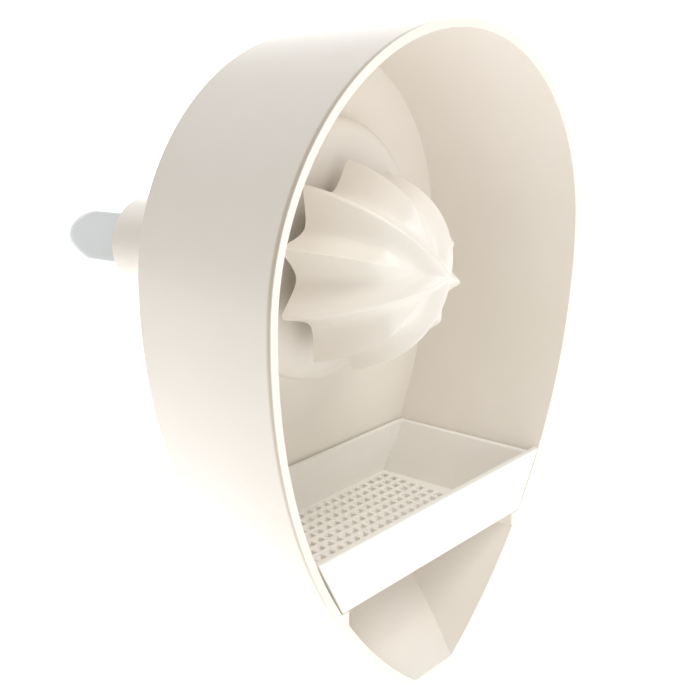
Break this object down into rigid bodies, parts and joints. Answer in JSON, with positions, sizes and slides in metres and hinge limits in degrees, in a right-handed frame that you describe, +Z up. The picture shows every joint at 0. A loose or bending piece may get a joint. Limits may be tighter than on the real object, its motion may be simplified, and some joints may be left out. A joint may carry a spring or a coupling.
{
  "type": "citrus juicer attachment",
  "caption": "Citrus juicer attachment for a stand mixer: cream housing with spout, ribbed reamer and slide-out strainer.",
  "frame": {"origin": "centre of the hub neck's shoulder face on the drive axis, where the mixer hub's rim stops", "axes": "+Y along the drive axis towards the mixer; -Y towards the open front; +Z up; +X to the right seen from the front"},
  "size_m": [0.1512, 0.187, 0.2128],
  "materials": {
    "housing_plastic": "smooth semi-gloss moulding, warm cream",
    "reamer_plastic": "smooth gloss moulding, warm white",
    "strainer_plastic": "smooth gloss moulding, warm white",
    "shank_plastic": "satin nylon, cool bluish grey",
    "bush_plastic": "matt acetal, tan",
    "seal_rubber": "matt",
    "steel": "fine turned"
  },
  "bodies": {
    "body": {"housing": "housing_plastic", "hub_neck": "housing_plastic", "neck_screws": "steel", "front_bush": "bush_plastic", "rear_bush": "bush_plastic", "shaft_seal": "seal_rubber"},
    "drive": {"drive_shaft": "steel", "shank": "shank_plastic", "shank_pin": "steel", "shaft_clip": "steel", "thrust_washer": "steel", "grip_ring": "seal_rubber"},
    "reamer_body": {"reamer": "reamer_plastic"},
    "strainer_body": {"strainer": "strainer_plastic"}
  },
  "joints": [
    {"name": "drive_turn", "type": "hinge", "parent": "body", "child": "drive", "pos_m": [0, 0, 0], "axis": [0, 1, 0], "continuous": true},
    {"name": "reamer_pull", "type": "slide", "parent": "drive", "child": "reamer_body", "axis": [0, -1, 0], "range_m": [0, 0.07]},
    {"name": "strainer_pull", "type": "slide", "parent": "body", "child": "strainer_body", "axis": [0, -0.9969, -0.0785], "range_m": [0, 0.07]}
  ]
}
